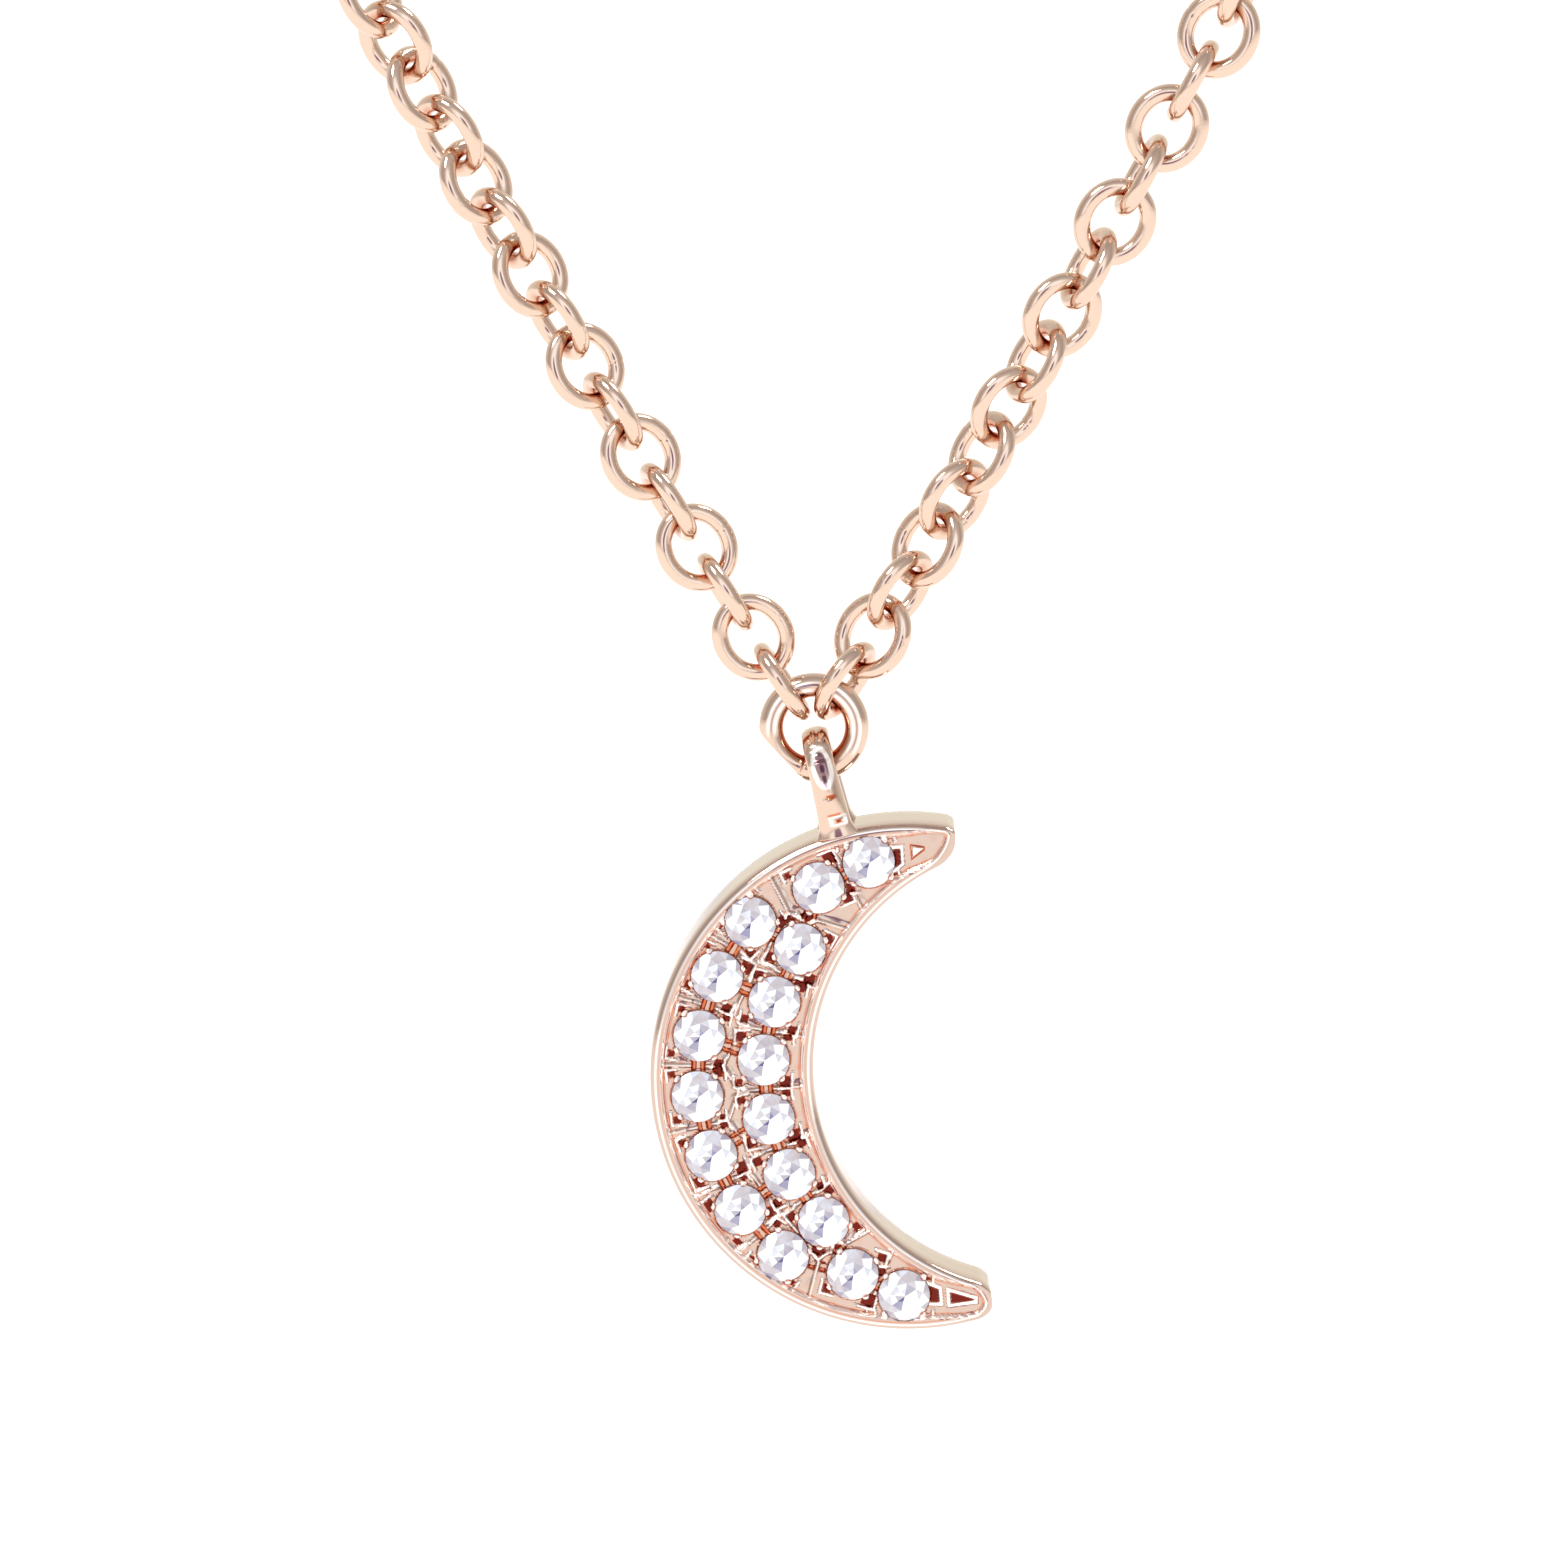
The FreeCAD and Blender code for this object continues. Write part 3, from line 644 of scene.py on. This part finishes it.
def field_height(q):
    """Height of the worked face, distance to the nearest stone and to the edge, and painted light.

    The painted light is 1 (painted highlight) on bright-cut edges, -0.5 (painted shade) in shallow recesses
    and -1 (painted shade) in deep cuts.
    """
    rim = edge_distance(q)
    inset = rim - rim_width(q)
    away = np.linalg.norm(q[..., None, :] - STONE_AT, axis=-1)
    order = np.argsort(away, axis=-1)
    near = np.take_along_axis(away, order[..., :1], -1)[..., 0]
    ridge = np.full(near.shape, 9.0)
    bar = np.zeros(near.shape)
    rung = np.zeros(near.shape)
    first = STONE_AT[order[..., 0]]
    for k in (1, 2):
        other = STONE_AT[order[..., k]]
        between = other - first
        span = np.linalg.norm(between, axis=-1)
        second = np.take_along_axis(away, order[..., k:k + 1], -1)[..., 0]
        delta = (second ** 2 - near ** 2) / (2 * span)
        ridge = np.minimum(ridge, np.where(span < 1.9, delta, 9.0))
        if k == 1:
            middle = (first + other) / 2
            side = np.stack([-between[..., 1], between[..., 0]], -1) / span[..., None]
            slide = np.abs(((q - middle) * side).sum(-1))
            close = (span < 1.32) & (delta < 0.15)
            bar = np.where(close, 1 - smooth(slide, 0.105, 0.130), 0.0)
            rung = (1 - smooth(slide, 0.035, 0.055)) * bar
    # triangular cuts in the corners of each stone's square cell, and their raised edges with a painted
    # highlight
    cut = np.full(near.shape, -9.0)
    bright = np.zeros(near.shape)
    for i, (place, turn) in enumerate(zip(STONE_AT, STONE_TURN)):
        local = q - place
        u = np.abs(local[..., 0] * math.cos(turn) + local[..., 1] * math.sin(turn))
        v = np.abs(-local[..., 0] * math.sin(turn) + local[..., 1] * math.cos(turn))
        corner = (local @ np.array([math.cos(turn), math.sin(turn)]) > 0) + 2 * (
            local @ np.array([-math.sin(turn), math.cos(turn)]) > 0)
        size, pit = CELL[i][corner], PIT[i][corner]
        square = np.maximum(u, v) - size
        p = np.minimum(np.minimum(-square, np.minimum(u, v) - pit),
                       away[..., i] - STONE_RADIUS - 0.016)
        cut = np.maximum(cut, p)
        edge = band(square, 0.034, 0.040) * smooth(np.minimum(u, v), pit - 0.10, pit - 0.02)
        bright = np.maximum(bright, edge)
    cut = np.minimum(cut, np.minimum(near - STONE_RADIUS - 0.016, inset - 0.02))
    bright = bright * (near > STONE_RADIUS + 0.02) * (inset > 0.0)
    painted_light = np.zeros(near.shape)
    for corners, deep in HORN_CUTS:
        p = within(q, corners)
        if deep < 0:
            cut = np.maximum(cut, p)
            bright = np.maximum(bright, band(p, -0.038, 0.050))
        else:
            bright = np.maximum(bright, smooth(p, -0.01, 0.02))
            painted_light = np.minimum(painted_light, -0.8 * band(p, -0.022, 0.022))
    # the field rises a little towards the ridges between the cells
    h = 0.030 * (1 - smooth(ridge, 0.0, 0.16)) + 0.030 * (1 - smooth(ridge, 0.010, 0.045))
    # painted highlight along the ridge tops, painted shade just beside them
    painted_light += 0.45 * band(ridge, 0.0, 0.026) - 0.25 * band(ridge, 0.050, 0.022)
    rough = np.sin(19 * q[..., 0] + 7 * q[..., 1]) + np.sin(-9 * q[..., 0] + 22 * q[..., 1] + 1)
    h += 0.0012 * rough
    # darker and redder in spots where the ripple is high
    painted_light -= 0.14 * np.clip(rough - 0.7, 0, 1)
    h += 0.050 * bright
    h -= np.clip(CUT_SLOPE * cut, 0, CUT_DEPTH)
    # raised bright edge round each stone
    lip = 1 - smooth(np.abs(near - STONE_RADIUS - 0.012), 0.006, 0.020)
    h = np.where(near > STONE_RADIUS - 0.01, np.maximum(h, 0.025 * lip), h)
    # painted shade in a narrow ring just outside each stone's raised edge
    painted_light -= 0.35 * band(near, STONE_RADIUS + 0.030, 0.026)
    # low bars in the narrow places between two stones, with painted shade on them that is lighter along the
    # middle rung
    narrow = bar * (near < STONE_RADIUS + 0.15) * (near > STONE_RADIUS + 0.012)
    h = h * (1 - narrow) + narrow * (-0.045 + 0.055 * rung)
    painted_light = painted_light * (1 - narrow) + narrow * (-0.55 + 0.35 * rung)
    # painted highlight on the raised edges, painted shade filling the deep cuts
    painted_light = np.where(bright > 0.05, np.maximum(painted_light, bright), painted_light)
    painted_light = np.where(cut > 0, -smooth(cut, 0, 0.012), painted_light)
    # the rim: a cut slope down to the field, a flat top, a rounded outer edge
    slope = smooth(inset, 0, -RIM_SLOPE)
    h = np.where(inset < 0, np.maximum(h * (inset > -0.02), FIELD_DEPTH * slope), h)
    h = np.where(inset < -RIM_SLOPE, FIELD_DEPTH, h)
    # painted light on the rim: a painted highlight down the cut slope, painted shade lines at its foot and
    # on the flat top beside it, a painted highlight at the outer bevel with a painted shade line inside it
    painted_light = np.where(inset < 0.0, 0.0, painted_light)
    painted_light += 0.95 * band(inset, -0.034, 0.034) * (cut < 0)
    painted_light -= 0.45 * band(inset, 0.018, 0.018) * (cut < -0.01) * (bright < 0.3)
    painted_light -= 0.26 * band(inset, -0.090, 0.022)
    bevel = np.clip((0.125 - rim) / 0.055, 0, 1)
    h -= 0.030 * bevel ** 1.6
    painted_light += 0.75 * band(rim, 0.098, 0.026)
    painted_light -= 0.30 * band(rim, 0.140, 0.016)
    return h, near, rim, np.clip(painted_light, -1, 1)


def beads():
    """Small domes that hold the stones, at the corners of their cells."""
    found = []
    for i, c in enumerate(STONE_AT):
        for k in range(4):
            a = STONE_TURN[i] + math.radians(45 + 90 * k)
            p = c + (STONE_RADIUS + 0.01) * np.array([math.cos(a), math.sin(a)])
            others = np.linalg.norm(STONE_AT - p, axis=1)
            others[i] = 9
            if others.min() < STONE_RADIUS + 0.05 or edge_distance(p) < RIM + 0.03:
                continue
            if any(np.linalg.norm(p - o) < 0.11 for o in found):
                continue
            found.append(p)
    return np.array(found)


BEADS = beads()
BEAD = 0.070
HOLE = 0.27


def crescent_plate():
    count = 330
    outer = np.concatenate([outline("outer", count, -1)[:0:-1], outline("outer", count, 1)])
    inner = np.concatenate([outline("inner", count, -1)[:0:-1], outline("inner", count, 1)])
    # the middle stays dense, the edges get lines of their own
    across = 140
    edge = np.array([0.07, 0.083, 0.097, 0.111, 0.125, 0.16, 0.19, 0.205, 0.22, 0.235, 0.25,
                     0.264, 0.278])
    spans = np.linalg.norm(inner - outer, axis=1)
    share = np.empty((len(spans), across))
    for k, span in enumerate(spans):
        e = edge * min(1.0, 0.48 * span / edge[-1])
        e = e / max(span, 1e-6)
        body = np.linspace(e[-1], 1 - e[-1], across - 2 * len(edge) + 2)
        share[k] = np.concatenate([e[:-1], body, 1 - e[:-1][::-1]])
    q = outer[:, None, :] * (1 - share[..., None]) + inner[:, None, :] * share[..., None]
    h, near, rim, painted_light = field_height(q)
    # seats: a shoulder for the girdle, then a cone down to the open back
    seat = near < STONE_RADIUS + 0.004
    cone = -0.02 - (STONE_RADIUS + 0.004 - near) * 0.95
    h = np.where(seat, np.maximum(cone, -0.25), h)
    for b in BEADS:
        r = np.linalg.norm(q - b, axis=-1)
        dome = 0.02 + np.sqrt(np.clip(BEAD ** 2 - r ** 2, 0, None)) * 1.7
        # painted highlight on the beads
        painted_light = np.where((r < BEAD) & (dome > h), 0.75, painted_light)
        h = np.where(r < BEAD, np.maximum(h, dome), h)
    y_front = FRONT + FIELD_DEPTH - h
    y_back = BACK - 0.03 * np.clip((0.12 - rim) / 0.05, 0, 1) ** 1.6
    rows, columns = q.shape[:2]
    # round holes behind the stones
    flat = q.reshape(-1, 2)
    away = np.linalg.norm(flat[:, None, :] - STONE_AT, axis=-1)
    closest, which = away.min(1), away.argmin(1)
    inside = (closest < HOLE).reshape(rows, columns)
    cell_in = inside[:-1, :-1] & inside[1:, :-1] & inside[:-1, 1:] & inside[1:, 1:]
    keep = ~cell_in
    used = np.zeros((rows, columns), bool)
    for di in (0, 1):
        for dj in (0, 1):
            used[di:rows - 1 + di, dj:columns - 1 + dj] |= keep
    on_hole = used & inside
    move = on_hole.reshape(-1)
    direction = flat[move] - STONE_AT[which[move]]
    direction /= np.linalg.norm(direction, axis=1)[:, None]
    flat[move] = STONE_AT[which[move]] + direction * HOLE
    place = from_plate(flat)
    front = np.stack([place[:, 0], y_front.reshape(-1), place[:, 1]], 1)
    back = np.stack([place[:, 0], y_back.reshape(-1), place[:, 1]], 1)
    number = rows * columns
    index = np.arange(number).reshape(rows, columns)
    i, j = np.nonzero(keep)
    a, b, c, d = index[i, j], index[i + 1, j], index[i + 1, j + 1], index[i, j + 1]
    faces = np.concatenate([np.stack([a, d, c, b], 1), np.stack([a, b, c, d], 1) + number])
    # walls: one strip of quads under every edge that only one kept cell uses
    pairs = np.concatenate([np.stack(p, 1) for p in ((a, d), (d, c), (c, b), (b, a))])
    key = np.sort(pairs, axis=1)
    _, first, counts = np.unique(key, axis=0, return_index=True, return_counts=True)
    lone = pairs[first[counts == 1]]
    rim_verts = np.unique(lone)
    # the outer wall swells from the edges of both faces to the full outline
    outward = np.zeros((number, 3))
    for column, beside in ((0, 1), (-1, -2)):
        d = q[:, column] - q[:, beside]
        d /= np.maximum(np.linalg.norm(d, axis=1), 1e-9)[:, None]
        d = from_plate(d) - PLATE_ORIGIN
        outward[index[:, column], 0] = d[:, 0]
        outward[index[:, column], 2] = d[:, 1]
    outward[index[0]] = outward[index[-1]] = 0
    swell = ((0.02, 0.035), (0.05, 0.055), (0.10, 0.068), (0.3, 0.07), (0.7, 0.07),
             (0.90, 0.068), (0.95, 0.055), (0.98, 0.035))
    levels = [front + (back - front) * s + outward * grow for s, grow in swell]
    steps = len(swell) + 1
    remap = {v: k for k, v in enumerate(rim_verts)}
    verts = [front, back] + [level[rim_verts] for level in levels]
    wall = []
    for p, r in lone:
        chain_p = [p] + [2 * number + s * len(rim_verts) + remap[p] for s in range(steps - 1)]
        chain_r = [r] + [2 * number + s * len(rim_verts) + remap[r] for s in range(steps - 1)]
        chain_p.append(p + number)
        chain_r.append(r + number)
        for s in range(steps):
            wall.append((chain_r[s], chain_p[s], chain_p[s + 1], chain_r[s + 1]))
    verts = np.concatenate(verts)
    obj = make_object("crescent_face", verts, faces.tolist() + wall, PLATE_GOLD)
    shade = np.zeros(len(verts), np.float32)
    # painted shade in the stone seats, the face's painted light elsewhere
    shade[:number] = np.where(seat, -0.4, painted_light).reshape(-1)
    mark(obj, "painted_light", shade)
    bm = bmesh.new()
    bm.from_mesh(obj.data)
    bmesh.ops.remove_doubles(bm, verts=bm.verts, dist=2e-7)
    loose = [v for v in bm.verts if not v.link_faces]
    bmesh.ops.delete(bm, geom=loose, context="VERTS")
    bmesh.ops.recalc_face_normals(bm, faces=bm.faces)
    bm.to_mesh(obj.data)
    bm.free()
    obj.data.polygons.foreach_set("use_smooth", [True] * len(obj.data.polygons))
    obj.data.set_sharp_from_angle(angle=math.radians(32))
    return obj


shown(crescent_plate(), "pendant", "rose_gold", "crescent_plate")

# ---- diamonds ----------------------------------------------------------------------------------------
CROWN = 0.15
GIRDLE = 0.03
PAVILION = 0.40
TABLE = 0.56


def brilliant():
    """Round brilliant crown over an eight-sided pavilion, table at +z.

    Returns points, faces and how bright each face is painted, its painted reflection. The table is divided
    where the pavilion's facets would show through it, each piece with a painted reflection of its own.
    """
    r, rt = STONE_RADIUS, STONE_RADIUS * TABLE
    top, bottom = GIRDLE / 2, -GIRDLE / 2
    rim = 32
    part = rim // 8
    eighth = math.tau / 8
    half = math.cos(eighth / 2)

    def at(radius, turn, z):
        return (radius * math.cos(turn), radius * math.sin(turn), z)

    def ring(z):
        return [at(r, k * math.tau / rim, z) for k in range(rim)]

    star = (rt * half + r) / 2
    star_z = top + CROWN * (r - star * half) / (r - rt)
    verts = [at(rt, k * eighth, top + CROWN) for k in range(8)]
    verts += [at(star, (k + 0.5) * eighth, star_z) for k in range(8)]
    verts += ring(top) + ring(bottom) + [(0, 0, bottom - PAVILION)]
    s, g, b, culet = 8, 16, 16 + rim, 16 + 2 * rim
    # the table: a middle point and eight points between it and the corners
    middle = len(verts)
    verts.append((0.012, 0.020, top + CROWN))
    inner = len(verts)
    reach = (0.60, 0.45, 0.62, 0.50, 0.66, 0.52, 0.30, 0.42)
    verts += [at(rt * f, k * eighth, top + CROWN) for k, f in enumerate(reach)]
    # painted reflections of the table: the pieces round the middle, then the band outside them
    core = (0.88, 0.30, 0.62, 0.92, 0.50, 0.04, 0.95, 0.98)
    outer = (0.95, 0.45, 0.80, 0.66, 0.90, 0.34, 0.98, 0.98)
    faces, light = [], []

    def face(corners, shade):
        faces.append(tuple(corners))
        light.append(shade)

    # painted reflections of the kites, stars and upper halves
    kites = (0.98, 0.97, 0.60, 0.99, 0.97, 0.58, 0.99, 0.98)
    stars = (0.70, 0.62, 0.56, 0.88, 0.66, 0.52, 0.97, 0.96)
    halves = (0.60, 0.50, 0.46, 0.64, 0.72, 0.50, 0.44, 0.60,
              0.52, 0.62, 0.36, 0.56, 0.93, 0.88, 0.84, 0.58)
    for k in range(8):
        n, p = (k + 1) % 8, (k - 1) % 8
        at_k = k * part
        face((middle, inner + k, inner + n), core[k])
        face((inner + k, k, n, inner + n), outer[k])
        face((k, s + k, n), stars[k])
        face((k, s + p, g + at_k, s + k), kites[k])
        arc = [(at_k + m) % rim for m in range(part + 1)]
        face((s + k, *(g + m for m in arc[:part // 2 + 1])), halves[2 * k])
        face((s + k, *(g + m for m in arc[part // 2:])), halves[2 * k + 1])
        low = at_k + part // 2
        arc = [(low + m) % rim for m in range(part + 1)]
        face([culet, *(b + m for m in reversed(arc))], 0.55 + 0.4 * (k % 2))
    for k in range(rim):
        n = (k + 1) % rim
        face((g + k, b + k, b + n, g + n), 0.6)
    return np.array(verts), faces, light


def diamonds():
    verts, faces, light = brilliant()
    for node in STONES:
        middle = box_centre(node)
        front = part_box(node)[0][1] / MM
        turn = math.radians(-6) + math.radians(random.gauss(0, 2.5))
        c, s = math.cos(turn), math.sin(turn)
        x = verts[:, 0] * c - verts[:, 1] * s
        z = verts[:, 0] * s + verts[:, 1] * c
        y = front + (CROWN + GIRDLE / 2) - verts[:, 2]
        points = np.stack([middle[0] + x, y, middle[2] + z], 1)
        obj = make_object("brilliant" + node[-3:], points, faces, DIAMOND, smooth=False)
        # painted reflections, a little different on every stone
        shade = [min(1, max(0, v + random.uniform(-0.06, 0.06))) for v in light]
        mark(obj, "painted_facet_reflection", shade, "FACE")
        shown(obj, "pendant", "diamond", node)


diamonds()

# ---- clasp, kept from the frame ----------------------------------------------------------------------
for node in ("clasp_body", "clasp_trigger", "clasp_rivet", "clasp_spring", "clasp_ring",
             "end_ring"):
    mesh = NODES[node].data
    mesh.materials.clear()
    mesh.materials.append(GOLD)

# ---- studio --------------------------------------------------------------------------------------------
WORLD_FRONT = unit(np.array([0.0, -1.0, 0.17]))


def studio():
    world = bpy.data.worlds.new("studio")
    bpy.context.scene.world = world
    world.use_nodes = True
    tree = world.node_tree
    tree.nodes.clear()

    def add(kind, inputs=(), **settings):
        node = tree.nodes.new(kind)
        for key, value in settings.items():
            setattr(node, key, value)
        for key, value in dict(inputs).items():
            if isinstance(value, bpy.types.NodeSocket):
                tree.links.new(value, node.inputs[key])
            else:
                node.inputs[key].default_value = value
        return node

    way = add("ShaderNodeTexCoord").outputs["Generated"]
    facing = add("ShaderNodeVectorMath", {0: way, 1: WORLD_FRONT}, operation="DOT_PRODUCT")
    angle = add("ShaderNodeMath", {0: facing.outputs["Value"]}, operation="ARCCOSINE")
    share = add("ShaderNodeMath", {0: angle.outputs[0], 1: math.pi}, operation="DIVIDE")
    ramp = add("ShaderNodeValToRGB", {"Fac": share.outputs[0]})
    stops = [(0.000, (0.32, 0.22, 0.35)), (0.056, (0.36, 0.25, 0.37)),
             (0.080, (1.35, 1.46, 1.56)), (0.150, (1.35, 1.46, 1.56)),
             (0.220, (0.72, 0.70, 0.70)), (0.40, (0.51, 0.48, 0.47)),
             (0.56, (0.74, 0.73, 0.70)), (0.75, (0.96, 0.94, 0.86)),
             (1.0, (1.06, 1.04, 0.86))]
    elements = ramp.color_ramp.elements
    while len(elements) < len(stops):
        elements.new(0.5)
    for element, (position, colour) in zip(elements, stops):
        element.position = position
        element.color = (*colour, 1)
    light = add("ShaderNodeBackground", {"Color": ramp.outputs["Color"], "Strength": 1.0})
    plain = add("ShaderNodeBackground", {"Color": (1, 1, 1, 1), "Strength": 1.0})
    path = add("ShaderNodeLightPath")
    mix = add("ShaderNodeMixShader", {0: path.outputs["Is Camera Ray"],
                                      1: light.outputs[0], 2: plain.outputs[0]})
    add("ShaderNodeOutputWorld", {"Surface": mix.outputs[0]})


def floor():
    size = 30.0
    low = CAD_BOX[0][2] - 0.018
    mesh = bpy.data.meshes.new("floor")
    mesh.from_pydata([(x * size, y * size, low) for x, y in
                      ((-1, -1), (1, -1), (1, 1), (-1, 1))], [], [(0, 1, 2, 3)])
    n = Nodes("floor")
    n.shader.inputs["Base Color"].default_value = (0.97, 0.97, 0.97, 1)
    n.shader.inputs["Roughness"].default_value = 0.9
    n.shader.inputs["Specular IOR Level"].default_value = 0.1
    n.shader.inputs["Emission Color"].default_value = (1, 1, 1, 1)
    n.shader.inputs["Emission Strength"].default_value = 0.20
    mesh.materials.append(n.material)
    obj = bpy.data.objects.new("floor", mesh)
    bpy.context.scene.collection.objects.link(obj)


def area_light(name, offset, size, energy, colour):
    data = bpy.data.lights.new(name, "AREA")
    data.shape = "SQUARE"
    data.size = size
    data.energy = energy
    data.color = colour
    obj = bpy.data.objects.new(name, data)
    target = Vector(RING_CENTRE * MM) + Vector((0, 0, -0.006))
    obj.location = target + Vector(offset)
    obj.rotation_mode = "QUATERNION"
    obj.rotation_quaternion = (target - obj.location).to_track_quat("-Z", "Y")
    bpy.context.scene.collection.objects.link(obj)


studio()
floor()
area_light("key", (-0.25, -0.20, 0.40), 0.16, 0.9, (1, 0.98, 0.96))
area_light("top", (0.22, 0.10, 0.45), 0.14, 0.7, (1, 1, 1))

# ---- camera ----------------------------------------------------------------------------------------------
VIEW_WIDTH = 28.4
VIEW_SHIFT = (-0.61, -0.97)
ELEVATION = math.radians(10)
LENS = 300.0


def camera():
    data = bpy.data.cameras.new("camera")
    data.lens = LENS
    data.sensor_width = 36
    data.clip_start = 0.01
    data.clip_end = 100
    obj = bpy.data.objects.new("camera", data)
    up = np.array([0, math.sin(ELEVATION), math.cos(ELEVATION)])
    back = np.array([0, -math.cos(ELEVATION), math.sin(ELEVATION)])
    target = RING_CENTRE + VIEW_SHIFT[0] * np.array([1, 0, 0]) + VIEW_SHIFT[1] * up
    obj.location = Vector((target + back * VIEW_WIDTH * LENS / 36) * MM)
    obj.rotation_mode = "QUATERNION"
    obj.rotation_quaternion = Vector(back).to_track_quat("Z", "Y")
    bpy.context.scene.collection.objects.link(obj)
    bpy.context.scene.camera = obj


camera()
scene = bpy.context.scene
scene.view_settings.view_transform = "Standard"
scene.view_settings.look = "None"
